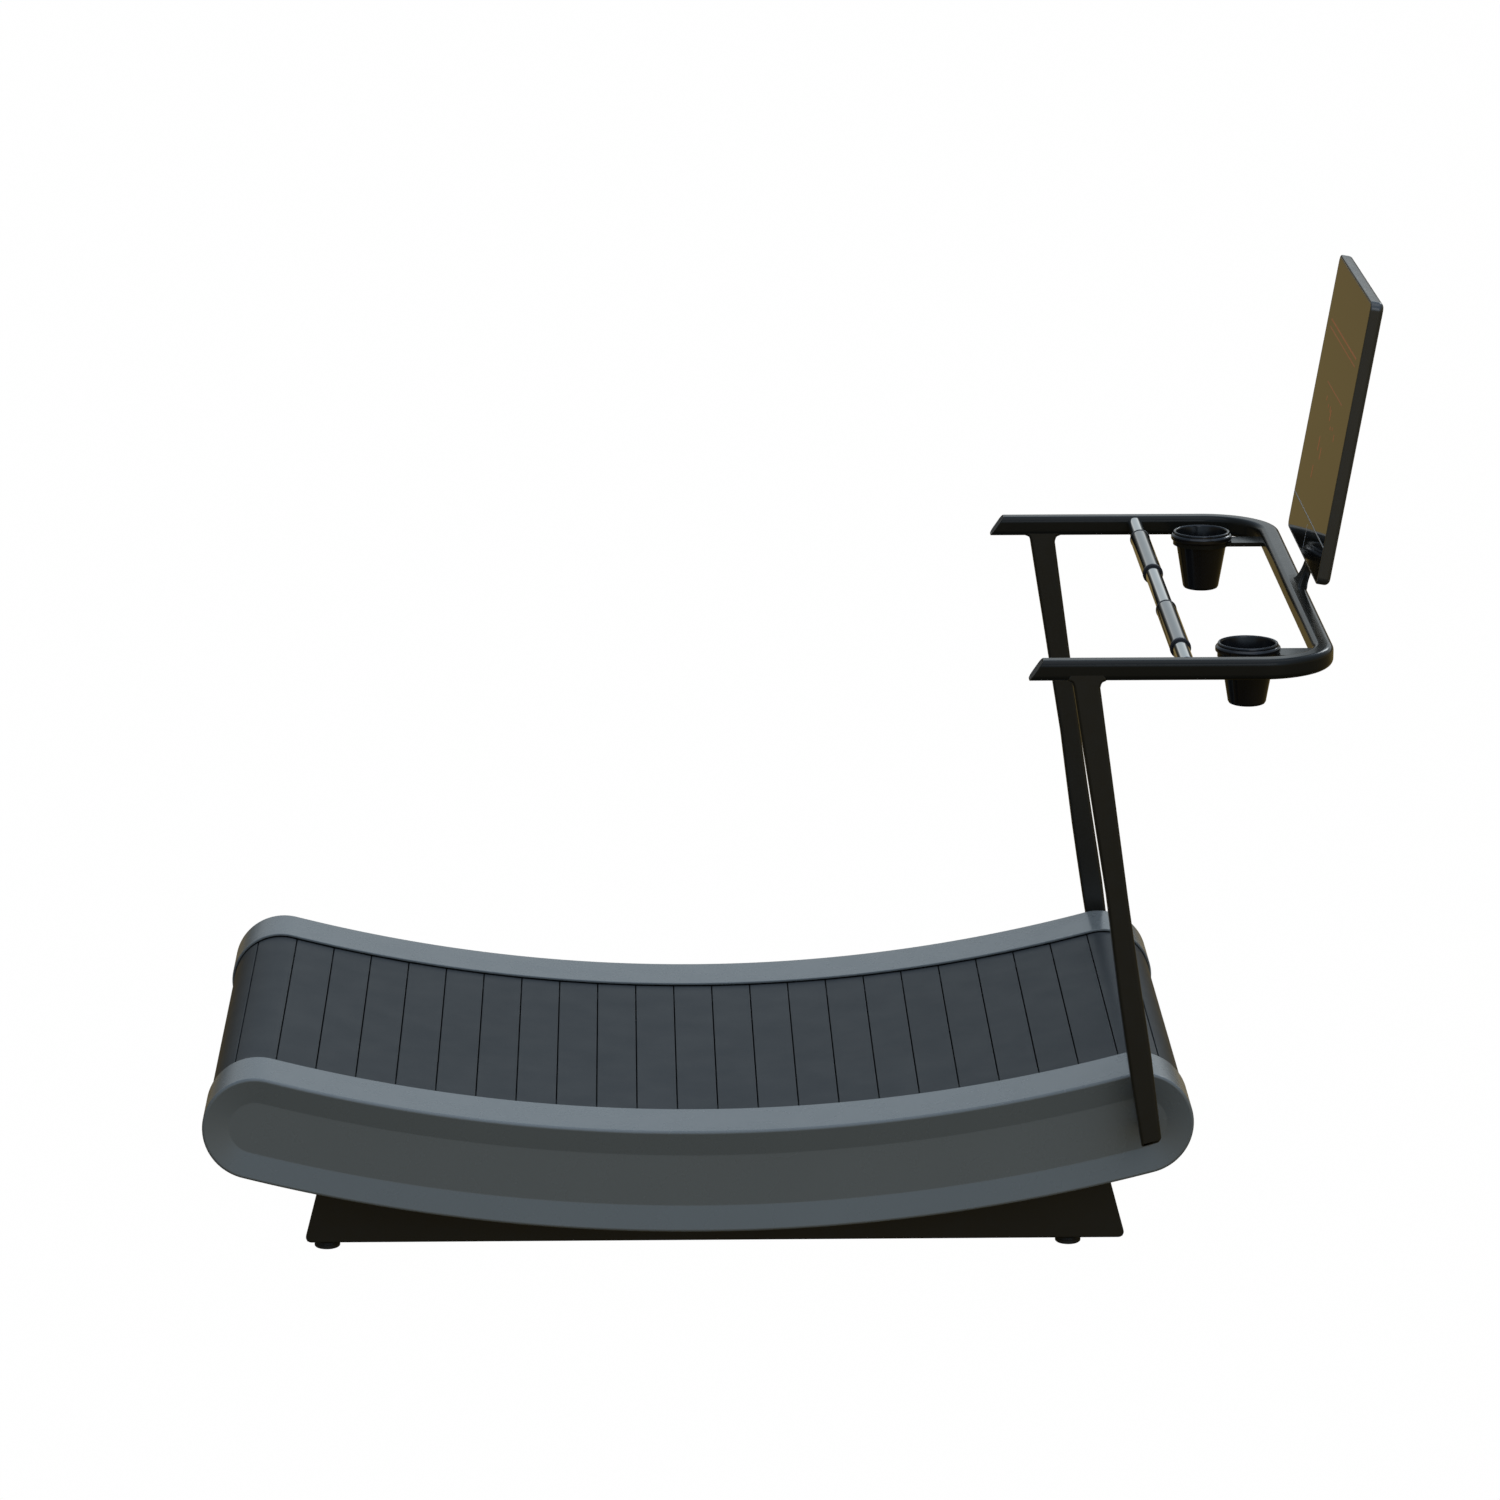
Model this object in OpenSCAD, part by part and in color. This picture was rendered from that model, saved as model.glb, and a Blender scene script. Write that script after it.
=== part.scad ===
// Curved manual treadmill: an endless slat belt on a concave bearing track,
// between two hollow side covers, with uprights, a U-shaped handrail and a tilting screen.
// X runs forward to the screen, Y to the runner's left, Z up. Units are millimetres.

/* [Running deck] */
// Radius of the deck's centre curve
deck_r = 2762.4; // [2400:0.1:3200]
// Height of the centre of the deck's curve above the floor
deck_cz = 2912.8; // [2560:0.1:3350]
// Half angle of the curved run
deck_half = 14.96; // [14.5:0.01:15.2]
// Distance from the centre curve to the belt's pitch line
pitch_h = 76.8; // [76:0.1:77.5]
// Number of slats in the whole loop
slat_count = 51; // [51:1:51]
// Width of a slat along the belt
slat_w = 63.7; // [60:0.1:64.5]
// Length of a slat across the deck
slat_len = 704; // [600:1:706]
// Thickness of a slat
slat_t = 8.6; // [6:0.1:9]

/* [Side covers] */
// Half height of the side cover
cover_h = 85.5; // [84:0.1:90]
// Inner face of the cover from the centre plane
cover_in = 356; // [355:1:358]
// Outer face of the cover from the centre plane
cover_out = 476; // [460:1:480]
// Width of the sloped band round the dished face
dish_band = 43; // [30:1:50]
// Depth of the dished face
dish_depth = 10; // [4:1:12]
// Wall thickness of the cover
cover_wall = 4; // [3:0.5:4.5]

/* [Base] */
// Outer face of the base side from the centre plane
base_out = 381; // [381:1:381]
// Underside of the base above the floor
base_z = 19; // [15:1:22]
// Rear end of the base at the floor
base_rear = -642.6; // [-655:0.1:-630]
// Front end of the base at the floor
base_front = 698.6; // [690:0.1:705]
// Foot position along the base
foot_x = 607; // [590:1:620]
// Foot position across the base
foot_y = 339; // [330:1:345]
// Diameter of a foot
foot_d = 42; // [36:1:48]

/* [Handrail] */
// Outer face of the handrail from the centre plane
rail_out = 540; // [535:1:545]
// Width of the handrail tube
rail_w = 34; // [32:1:36]
// Height of the handrail tube
rail_h = 33; // [31:1:35]
// Underside of the handrail above the floor
rail_z = 995; // [980:1:1010]
// Front face of the handrail's front bar
rail_front = 1011.5; // [1005:0.5:1015]
// Plan radius of the handrail's outer corner
rail_r = 125; // [110:1:135]
// Corner radius of the handrail tube's section
rail_edge = 10; // [4:0.5:10]
// Position of the crossbar
bar_x = 770; // [740:1:800]
// Diameter of the crossbar
bar_d = 27; // [25:0.5:28]
// Diameter of a pulse grip
grip_d = 33; // [31:0.5:36]

/* [Cups] */
// Position of a cup along the handrail
cup_x = 876.5; // [870:0.5:885]
// Position of a cup across
cup_y = 406.5; // [402:0.5:410]
// Top of the cup's rim above the floor
cup_z = 1026; // [1022:1:1030]
// Diameter of the cup's rim
cup_d = 104; // [100:1:108]

/* [Screen] */
// Front lower edge of the screen, along X
screen_x = 1004; // [1000:1:1008]
// Front lower edge of the screen above the floor
screen_z = 1075; // [1070:1:1080]
// Lean of the screen from upright
screen_tilt = 9.6; // [8:0.1:11]
// Width of the screen
screen_w = 448; // [430:1:460]
// Height of the screen along its face
screen_h = 471; // [450:1:480]
// Thickness of the screen
screen_t = 22; // [20:1:22]

/* [Hidden] */
$fn = 48;
big = 720;
// bolts that hold a side plate to a base side, as angles along the deck
bolt_at = [-9.3, -3.1, 3.1, 9.3];
end_x = deck_r * sin(deck_half);
end_z = deck_cz - deck_r * cos(deck_half);
x_min = -(end_x + cover_h);
x_max = screen_x + screen_h * sin(screen_tilt) + screen_t * cos(screen_tilt);
x_off = (x_min + x_max) / 2;
run_top = 2 * deck_half * PI / 180 * (deck_r - pitch_h);
run_low = 2 * deck_half * PI / 180 * (deck_r + pitch_h);
wrap = PI * pitch_h;
pitch = (run_top + run_low + 2 * wrap) / slat_count;
plate_in = 363;
plate_out = 373;
// pitch line to slat underside, and carrier belt faces from the pitch line
slat_lift = -4.4;
belt_up = -4.8;
belt_down = 10.8;
belt_in = pitch_h - belt_down;
bearing_y = 366;
black = [0.07, 0.07, 0.065];
steel = [0.55, 0.56, 0.58];

module home() { translate([-x_off, 0, 0]) children(); }
// children drawn on the right side (Y below zero) are mirrored to the left
module left() { mirror([0, 1, 0]) children(); }
// turns a profile (X = radius, Y = distance outward from the centre plane) about an axis along Y, on the right side
module sweep_y(cx, cz, from, turn, fn) { translate([cx, 0, cz]) rotate([90, 0, 0]) rotate([0, 0, from]) rotate_extrude(angle = turn, $fn = fn) children(); }
// a pill of the given half height between two Y planes, following the deck's curve
module pill(h, y0, y1) {
  sweep_y(0, deck_cz, 270 - deck_half, 2 * deck_half, big) translate([deck_r - h, y0]) square([2 * h, y1 - y0]);
  sweep_y(end_x, end_z, 270 + deck_half, 180, 96) translate([0, y0]) square([h, y1 - y0]);
  sweep_y(-end_x, end_z, 90 - deck_half, 180, 96) translate([0, y0]) square([h, y1 - y0]);
}
// a rod along Y on the right side, from y0 outward to y1
module rod(x, z, r, y0, y1, fn = 32) { translate([x, -y0, z]) rotate([90, 0, 0]) cylinder(r = r, h = y1 - y0, $fn = fn); }
// point on the deck's curve: angle a forward of the bottom, offset o towards the curve's centre
function dx(a, o) = (deck_r - o) * sin(a);
function dz(a, o) = deck_cz - (deck_r - o) * cos(a);

// ---- base
module base_side_right() {
  color(black) home() difference() {
    union() {
      translate([0, -plate_out, 0]) rotate([90, 0, 0]) linear_extrude(base_out - plate_out)
        polygon([[base_rear, base_z], [base_front, base_z], [base_front - 0.268 * 215, base_z + 215], [base_rear + 0.255 * 215, base_z + 215]]);
      translate([base_rear + 2, -base_out + 4, base_z]) cube([base_front - base_rear - 4, 70, 5]);
    }
    translate([0, 0, deck_cz]) rotate([90, 0, 0]) translate([0, 0, 300]) cylinder(r = deck_r + 12, h = 100, $fn = big);
    for (s = [-1, 1]) translate([s * foot_x, -foot_y, base_z - 1]) cylinder(r = 6.1, h = 7, $fn = 32);
    for (a = bolt_at) rod(dx(a, -35), dz(a, -35), 5.1, 360, 390);
  }
}
module base_side_left() { left() base_side_right(); }
module base_crossmembers() {
  color(black) home() for (x = [-500, -150, 150, 500]) difference() {
    translate([x - 25, -plate_out, base_z + 5]) cube([50, 2 * plate_out, 30]);
    translate([x - 22, -plate_out - 1, base_z + 8]) cube([44, 2 * plate_out + 2, 24]);
  }
}
module feet_at() { home() for (sx = [-1, 1], sy = [-1, 1]) translate([sx * foot_x, sy * foot_y, 0]) children(); }
module feet_pads() {
  color([0.05, 0.05, 0.05]) feet_at() rotate_extrude()
    polygon([[0, 0], [foot_d / 2 - 1, 0], [foot_d / 2, 1.5], [foot_d / 2, 8], [foot_d / 2 - 3, 10.5], [9, 11.5], [0, 11.5]]);
}
module feet_studs() { color(steel) feet_at() { translate([0, 0, 11.5]) cylinder(r = 6, h = 44.5, $fn = 32); translate([0, 0, 11.5]) cylinder(r = 8, h = 2.5, $fn = 6); } }
module feet_lock_nuts() { color(steel) feet_at() difference() { translate([0, 0, base_z + 5]) cylinder(r = 10.5, h = 7, $fn = 6); translate([0, 0, base_z]) cylinder(r = 6.05, h = 20, $fn = 32); } }

// ---- frame inside the covers
module side_plate_right() {
  color(black) home() difference() {
    pill(80.5, plate_in, plate_out);
    for (s = [-1, 1]) rod(s * end_x, end_z, 26.05, 350, 390, 64);
    for (a = bolt_at) rod(dx(a, -35), dz(a, -35), 5.1, 350, 390);
    for (i = [-6:6]) rod(dx(i * 2.1, belt_in - 20.2), dz(i * 2.1, belt_in - 20.2), 6.05, 350, 390);
  }
}
module side_plate_left() { left() side_plate_right(); }
module frame_cross_tubes() {
  color(black) home() for (a = [-12.4, -6.2, 0, 6.2, 12.4]) translate([dx(a, -8), plate_in, dz(a, -8)]) rotate([90, 0, 0])
    difference() { cylinder(r = 25, h = 2 * plate_in); translate([0, 0, -1]) cylinder(r = 22, h = 2 * plate_in + 2); }
}
module side_plate_bolts_one() {
  for (a = bolt_at) { rod(dx(a, -35), dz(a, -35), 5, plate_in - 3, base_out, 32); rod(dx(a, -35), dz(a, -35), 9, base_out, base_out + 6.5, 6); rod(dx(a, -35), dz(a, -35), 8.5, plate_in - 3, plate_in, 6); }
}
module side_plate_bolts() { color(steel) home() { side_plate_bolts_one(); left() side_plate_bolts_one(); } }

// ---- covers: a U-shaped shell section swept along the deck's curve and turned round both ends
// the lower wall stands clear of the base sides along the curved run
low_in = base_out + 3;
function cover_section(s, y0) = let (o = cover_h, w = cover_wall, d = dish_depth, b = dish_band)
  [[0, cover_out - d], [s * (o - b), cover_out - d], [s * (o - 5), cover_out], [s * (o - 1.5), cover_out - 1.5], [s * o, cover_out - 5], [s * o, y0],
   [s * (o - w), y0], [s * (o - w), cover_out - 6.5], [s * (o - 6), cover_out - 4.4], [s * (o - b - 1), cover_out - d - w], [0, cover_out - d - w]];
module side_cover_right() {
  color([0.30, 0.34, 0.36]) home() difference() {
    union() {
      sweep_y(0, deck_cz, 270 - deck_half, 2 * deck_half, big) translate([deck_r, 0]) { polygon(cover_section(1, low_in)); polygon(cover_section(-1, cover_in)); }
      sweep_y(end_x, end_z, 270 + deck_half, 180, 96) polygon(cover_section(1, cover_in));
      sweep_y(-end_x, end_z, 90 - deck_half, 180, 96) polygon(cover_section(1, cover_in));
    }
    for (p = mount_bosses) rod(p[0], p[1], 14, 440, 490);
  }
}
module side_cover_left() { left() side_cover_right(); }
module cover_posts_one() { for (a = [-12.5, -6, 0, 6, 12]) difference() { rod(dx(a, 0), dz(a, 0), 8, plate_out, cover_out - dish_depth - cover_wall); rod(dx(a, 0), dz(a, 0), 2.5, 440, 470); } }
module cover_posts() { color(black) home() { cover_posts_one(); left() cover_posts_one(); } }

// ---- shafts, pulleys, bearings
module ring_y(x, z, r0, r1, y0, y1, fn = 64) { difference() { rod(x, z, r1, y0, y1, fn); rod(x, z, r0, y0 - 1, y1 + 1, fn); } }
module bearing_housings() {
  color(black) home() for (k = [0, 1]) mirror([0, k, 0]) for (s = [-1, 1]) ring_y(s * end_x, end_z, 26.05, 36, plate_out, plate_out + 7);
}
module bearings(x) {
  for (k = [0, 1]) mirror([0, k, 0]) {
    ring_y(x, end_z, 12.55, 16, 359, 374);
    ring_y(x, end_z, 21.5, 26, 359, 374);
    for (i = [0:8]) translate([x + 18.75 * cos(i * 40), -366.5, end_z + 18.75 * sin(i * 40)]) sphere(r = 2.7, $fn = 24);
    ring_y(x, end_z, 16.1, 21.4, 360, 361);
  }
}
module front_bearings() { color(steel) home() bearings(end_x); }
module rear_bearings() { color(steel) home() bearings(-end_x); }
module one_way_clutch() { color(steel) home() mirror([0, 1, 0]) ring_y(end_x, end_z, 12.55, 22, 374.3, 384); }
module shaft(x) { rod(x, end_z, 12.5, -386, 386, 64); rod(x, end_z, 17, -350, -336, 64); rod(x, end_z, 17, 336, 350, 64); }
module front_shaft() { color(steel) home() shaft(end_x); }
module rear_shaft() { color(steel) home() shaft(-end_x); }
module pulleys(x) {
  for (k = [0, 1]) mirror([0, k, 0]) difference() {
    union() { rod(x, end_z, belt_in - 0.5, 287, 333, 128); rod(x, end_z, 22, 280, 336, 64); }
    rod(x, end_z, 12.53, 270, 340, 64);
    ring_y(x, end_z, 24, 57, 286, 303);
    ring_y(x, end_z, 24, 57, 317, 334);
    for (i = [0:5]) rod(x + 40 * cos(i * 60), end_z + 40 * sin(i * 60), 11, 280, 340);
  }
}
module front_pulleys() { color([0.6, 0.61, 0.62]) home() pulleys(end_x); }
module rear_pulleys() { color([0.6, 0.61, 0.62]) home() pulleys(-end_x); }

// ---- carrier belts: closed loops under the slats
module belt_band(o, y0, y1) {
  sweep_y(0, deck_cz, 270 - deck_half, 2 * deck_half, big) translate([deck_r - o[1], y0]) square([o[1] - o[0], y1 - y0]);
  sweep_y(0, deck_cz, 270 - deck_half, 2 * deck_half, big) translate([deck_r + o[0], y0]) square([o[1] - o[0], y1 - y0]);
  sweep_y(end_x, end_z, 270 + deck_half, 180, 96) translate([o[0], y0]) square([o[1] - o[0], y1 - y0]);
  sweep_y(-end_x, end_z, 90 - deck_half, 180, 96) translate([o[0], y0]) square([o[1] - o[0], y1 - y0]);
}
module carrier_belt_right() { color([0.04, 0.04, 0.04]) home() belt_band([pitch_h - belt_down, pitch_h + belt_up], 290, 330); }
module carrier_belt_left() { left() carrier_belt_right(); }
module support_rollers_right() { color([0.75, 0.76, 0.78]) home() for (i = [-6:6]) ring_y(dx(i * 2.1, belt_in - 20.2), dz(i * 2.1, belt_in - 20.2), 6.05, 20, 292, 328, 48); }
module support_rollers_left() { left() support_rollers_right(); }
module roller_pins_right() { color(steel) home() for (i = [-6:6]) { rod(dx(i * 2.1, belt_in - 20.2), dz(i * 2.1, belt_in - 20.2), 6, 288, plate_out + 4); rod(dx(i * 2.1, belt_in - 20.2), dz(i * 2.1, belt_in - 20.2), 9, plate_out, plate_out + 6, 6); rod(dx(i * 2.1, belt_in - 20.2), dz(i * 2.1, belt_in - 20.2), 9, 286, 291.7); rod(dx(i * 2.1, belt_in - 20.2), dz(i * 2.1, belt_in - 20.2), 9, 328.3, plate_in); } }
module roller_pins_left() { left() roller_pins_right(); }

// ---- slats. Index 0 is the middle of the top run, indices count forward and round the loop
function slat_s(i) = abs(i) * pitch;
// [x, z, turn about Y] of a slat's pitch point, for the front half of the loop
function half_pose(s) = s <= run_top / 2 ? let (a = s / (deck_r - pitch_h) * 180 / PI) [dx(a, pitch_h), dz(a, pitch_h), -a]
  : s <= run_top / 2 + wrap ? let (t = (s - run_top / 2) / pitch_h * 180 / PI - deck_half) [end_x + pitch_h * sin(t), end_z + pitch_h * cos(t), t]
  : let (a = deck_half - (s - run_top / 2 - wrap) / (deck_r + pitch_h) * 180 / PI) [dx(a, -pitch_h), dz(a, -pitch_h), 180 - a];
function slat_pose(i) = let (p = half_pose(slat_s(i))) i < 0 ? [-p[0], p[1], -p[2]] : p;
module slat_rib() {
  z0 = slat_lift;
  rotate([90, 0, 0]) translate([0, 0, -272]) linear_extrude(544) polygon([[-12, z0 + 0.5], [-4, z0 - 11], [4, z0 - 11], [12, z0 + 0.5]]);
}
module slat() {
  w = slat_w / 2; z0 = slat_lift; z1 = slat_lift + slat_t;
  rotate([90, 0, 0]) translate([0, 0, -slat_len / 2]) linear_extrude(slat_len)
    polygon([[-w, z0 + 1], [-w + 1, z0], [w - 1, z0], [w, z0 + 1], [w, z1 - 2], [w - 0.6, z1 - 0.6], [w - 2, z1], [-w + 2, z1], [-w + 0.6, z1 - 0.6], [-w, z1 - 2]]);
  slat_rib();
}
module slats(from, to) { color([0.22, 0.25, 0.27]) home() for (i = [from:to]) let (p = slat_pose(i)) translate([p[0], 0, p[1]]) rotate([0, p[2], 0]) slat(); }
// slats bent round a drum: one ring sector each, turned with the drum
module bent_slats(from, to) {
  // the underside is relieved over the carrier belts, so a slat leaves the drum without touching them
  r1 = pitch_h + slat_lift + slat_t; r0 = pitch_h + slat_lift; rg = r0 + 3.7; n = slat_len; half = slat_w / 2 / r1 * 180 / PI;
  color([0.22, 0.25, 0.27]) home() for (i = [from:to]) let (p = slat_pose(i), sx = i < 0 ? -1 : 1) {
    translate([sx * end_x, 0, end_z]) rotate([90, 0, 0]) rotate([0, 0, 90 - p[2] - half]) translate([0, 0, -slat_len / 2])
      rotate_extrude(angle = 2 * half, $fn = 96) polygon([[r0, 0], [r1 - 0.8, 0], [r1, 0.8], [r1, n - 0.8], [r1 - 0.8, n], [r0, n], [r0, n - 16], [rg, n - 16], [rg, n - 68], [r0, n - 68], [r0, 68], [rg, 68], [rg, 16], [r0, 16]]);
    translate([p[0], 0, p[1]]) rotate([0, p[2], 0]) slat_rib();
  }
}
module slats_top_run() { slats(-10, 10); }
module slats_rear_wrap() { bent_slats(-14, -11); }
module slats_bottom_run() { slats(-25, -15); slats(15, 25); }
module slats_front_wrap() { bent_slats(11, 14); }

// ---- uprights and their mounts through the covers
up_top = [588.3, 630.6];
up_z = rail_z;
mount_bosses = [[722.6, 254], [715.8, 299]];
module upright_outline(g) polygon([[up_top[0] + g, up_z], [647 + g, 639.7], [669.3 + g, 474], [689.8 + g, 340.6], [708.5 + g, 230 + g], [709.5 + 1.3 * g, 226.5 + g], [713 + g, 226 + g],
  [737 - g, 233 + g], [740.5 - 1.3 * g, 236 + g], [740.6 - g, 240 + g], [722.9 - g, 373.8], [706.8 - g, 474], [681.2 - g, 639.6], [up_top[1] - g, up_z]]);
module upright_right() {
  color(black) home() difference() {
    translate([0, -508, 0]) rotate([90, 0, 0]) linear_extrude(32) upright_outline(0);
    difference() {
      translate([0, -510.5, 0]) rotate([90, 0, 0]) linear_extrude(27) upright_outline(2.5);
      translate([600, -600, 180]) cube([200, 200, 150]);
    }
    for (p = mount_bosses) rod(p[0], p[1], 5.1, 500, 532);
  }
}
module upright_left() { left() upright_right(); }
module upright_mount_right() {
  color(black) home() difference() {
    union() {
      rod(end_x, end_z, 44, plate_out, 430, 64);
      translate([690, -438, 206]) cube([52, 8, 112]);
      for (p = mount_bosses) rod(p[0], p[1], 13, 438, 508);
    }
    rod(end_x, end_z, 39, plate_out - 1, 430, 64);
    for (p = mount_bosses) rod(p[0], p[1], 5.1, 420, 520);
  }
}
module upright_mount_left() { left() upright_mount_right(); }
module upright_bolts_one() { for (p = mount_bosses) { rod(p[0], p[1], 5, 430, 530); rod(p[0], p[1], 8, 420, 430); } }
module upright_bolts() { color(steel) home() { upright_bolts_one(); left() upright_bolts_one(); } }

// ---- handrail: rounded tube section, straight arms, turned corners and a front bar
module rail_section(g) {
  r = rail_edge - g / 2;
  translate([g + r, g]) square([rail_w - 2 * g - 2 * r, rail_h - 2 * g]);
  translate([g, g + r]) square([rail_w - 2 * g, rail_h - 2 * g - 2 * r]);
  for (x = [g + r, rail_w - g - r], y = [g + r, rail_h - g - r]) translate([x, y]) circle(r = r, $fn = 32);
}
module rail_wall() { difference() { rail_section(0); rail_section(3); } }
tip_low = 519.7;
tip_high = 542.2;
module rail_half() {
  difference() {
    translate([rail_front - rail_r, -rail_out, rail_z]) rotate([90, 0, -90]) translate([0, 0, 0]) linear_extrude(rail_front - rail_r - tip_low) rail_wall_flip();
    translate([0, -rail_out + 60, 0]) rotate([90, 0, 0]) linear_extrude(80) polygon([[500, rail_z - 2], [tip_low - 1.36, rail_z - 2], [tip_high + 1.36, rail_z + rail_h + 2], [500, rail_z + rail_h + 2]]);
  }
  translate([rail_front - rail_r, -rail_out + rail_r, rail_z]) rotate([0, 0, -90]) rotate_extrude(angle = 90, $fn = 128) translate([rail_r - rail_w, 0]) rail_wall();
}
module rail_wall_flip() { mirror([1, 0]) rail_wall(); }
module handrail() {
  color(black) home() {
    rail_half();
    left() rail_half();
    translate([rail_front, -(rail_out - rail_r), rail_z]) rotate([90, 0, 0]) mirror([0, 0, 1]) linear_extrude(2 * (rail_out - rail_r)) mirror([1, 0]) rail_wall();
  }
}
module plug_right() {
  translate([0, -rail_out + rail_w - 3.1, 0]) rotate([90, 0, 0]) linear_extrude(rail_w - 6.2)
    polygon([[tip_low + 2.6, rail_z + 3.6], [tip_low + 12.6, rail_z + 3.6], [tip_high + 7.9, rail_z + rail_h - 3.6], [tip_high - 2.1, rail_z + rail_h - 3.6]]);
}
module handrail_end_plugs() {
  color(black) home() for (k = [0, 1]) mirror([0, k, 0]) intersection() {
    plug_right();
    translate([500, -rail_out, rail_z]) rotate([90, 0, 90]) linear_extrude(80) rail_section(3.1);
  }
}
module crossbar() { color([0.72, 0.74, 0.76]) home() difference() { rod(bar_x, rail_z + 18.6, bar_d / 2, -(rail_out - rail_w), rail_out - rail_w, 64); rod(bar_x, rail_z + 18.6, bar_d / 2 - 2, -600, 600, 64); } }
module grip() { ring_y(bar_x, rail_z + 18.6, bar_d / 2 + 0.05, grip_d / 2, 134, 392); }
module grip_right() { color([0.45, 0.47, 0.5]) home() grip(); }
module grip_left() { left() grip_right(); }
module grip_end_rings() { color([0.1, 0.1, 0.11]) home() for (k = [0, 1]) mirror([0, k, 0]) for (y = [128, 392]) ring_y(bar_x, rail_z + 18.6, bar_d / 2 + 0.05, grip_d / 2 + 0.6, y, y + 6); }

// ---- cups and holders
cup_r = cup_d / 2;
ring_top = cup_z - 16.3;
module cup_holder_right() {
  color(black) home() difference() {
    union() {
      translate([cup_x, -cup_y, ring_top - 7]) cylinder(r = 48.5, h = 7, $fn = 96);
      intersection() {
        translate([cup_x + 20, -cup_y - 24, ring_top - 7]) cube([110, 48, 7]);
        union() {
          translate([cup_x, -(rail_out - rail_r), ring_top - 8]) cube([rail_front - rail_w - cup_x, 200, 9]);
          translate([rail_front - rail_r, -(rail_out - rail_r), ring_top - 8]) cylinder(r = rail_r - rail_w, h = 9, $fn = 128);
        }
      }
    }
    translate([cup_x, -cup_y, ring_top - 8]) cylinder(r = 44.2, h = 9, $fn = 96);
  }
}
module cup_holder_left() { left() cup_holder_right(); }
module cup_right() {
  color(black) home() translate([cup_x, -cup_y, cup_z - 100]) rotate_extrude($fn = 96)
    polygon([[0, 0], [25.5, 0], [28.5, 1], [30.5, 4], [43.3, 80], [43.6, 84], [cup_r - 2.5, 84], [cup_r, 86.5], [cup_r, 92.5], [cup_r - 1.5, 94.5], [cup_r - 3.5, 95.5], [cup_r - 3.5, 98.5], [cup_r - 5, 100], [cup_r - 7.5, 100], [cup_r - 8.8, 98.8], [40.8, 84], [28, 5.5], [25, 3], [0, 3]]);
}
module cup_left() { left() cup_right(); }

// ---- screen. Local X is depth from the glass, local Z is up the face
pin_u = 30;
pin_w = 14.5;
function sc(u, w) = [screen_x + u * sin(screen_tilt) + w * cos(screen_tilt), screen_z + u * cos(screen_tilt) - w * sin(screen_tilt)];
module on_screen() { home() translate([screen_x, 0, screen_z]) rotate([0, screen_tilt, 0]) children(); }
module slab(w, y, u0, u1, r, depth) {
  translate([w, 0, 0]) rotate([90, 0, 90]) linear_extrude(depth) union() {
    translate([-y + r, u0]) square([2 * y - 2 * r, u1 - u0]);
    translate([-y, u0 + r]) square([2 * y, u1 - u0 - 2 * r]);
    for (a = [-y + r, y - r], b = [u0 + r, u1 - r]) translate([a, b]) circle(r = r, $fn = 48);
  }
}
module screen_neck() {
  k = sc(pin_u, pin_w);
  color(black) home() difference() {
    union() {
      intersection() {
        translate([0, 120, 0]) rotate([90, 0, 0]) linear_extrude(240)
          polygon([[996, rail_z + rail_h], [1010, rail_z + rail_h], sc(-20, pin_w + 6), sc(pin_u, pin_w + 6), sc(pin_u, pin_w - 5.5), sc(-12, pin_w - 5.5)]);
        difference() {
          translate([980, -38, rail_z + rail_h]) cube([60, 76, 90]);
          for (s = [-1, 1]) translate([970, s * 42, rail_z + rail_h + 24]) rotate([0, 90, 0]) cylinder(r = 24, h = 80, $fn = 96);
          for (s = [-1, 1]) translate([970, s * 42 - 24, rail_z + rail_h + 24]) cube([80, 48, 80]);
        }
      }
      translate([k[0], 18, k[1]]) rotate([90, 0, 0]) cylinder(r = 6.5, h = 36);
    }
    translate([k[0], 30, k[1]]) rotate([90, 0, 0]) cylinder(r = 3.05, h = 60);
  }
}
module hinge_bracket() {
  color(steel) on_screen() difference() {
    union() {
      translate([6.5, -30, 46]) cube([12, 60, 14]);
      for (s = [-1, 1]) translate([6.5, s * 23 - 4, 20]) cube([13, 8, 30]);
    }
    translate([pin_w, 40, pin_u]) rotate([90, 0, 0]) cylinder(r = 3.02, h = 80);
  }
}
module hinge_pin() { color(steel) on_screen() { translate([pin_w, 28.5, pin_u]) rotate([90, 0, 0]) cylinder(r = 3, h = 57, $fn = 48); } }
module screen_back_shell() {
  color([0.13, 0.14, 0.15]) on_screen() difference() {
    slab(0, screen_w / 2, 0, screen_h, 12, screen_t);
    slab(-1, screen_w / 2 - 3.5, 3.5, screen_h - 3.5, 9, 4.2);
    slab(3, screen_w / 2 - 8, 70, screen_h - 8, 6, 16);
    translate([6, -36, -1]) cube([screen_t, 72, 63]);
  }
}
module screen_glass() { color([0.1, 0.09, 0.07]) on_screen() slab(0, screen_w / 2 - 4, 63.5, screen_h - 4, 8, 3); }
module lower_bezel() { color([0.1, 0.1, 0.1]) on_screen() slab(0, screen_w / 2 - 4, 4, 61.5, 8, 3); }
module accent_strip() { color([0.6, 0.62, 0.65]) on_screen() translate([0.2, -screen_w / 2 + 4, 61.7]) cube([2.8, screen_w - 8, 1.6]); }
module display_panel() { color([0.15, 0.16, 0.2]) on_screen() slab(3.3, 200, 80, screen_h - 18, 3, 5); }
module control_board() { color([0.1, 0.35, 0.2]) on_screen() { translate([9.5, -80, 110]) cube([1.6, 160, 110]); translate([11.1, -30, 140]) cube([3, 40, 40]); translate([11.1, 30, 130]) cube([4, 25, 50]); } }
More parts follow.
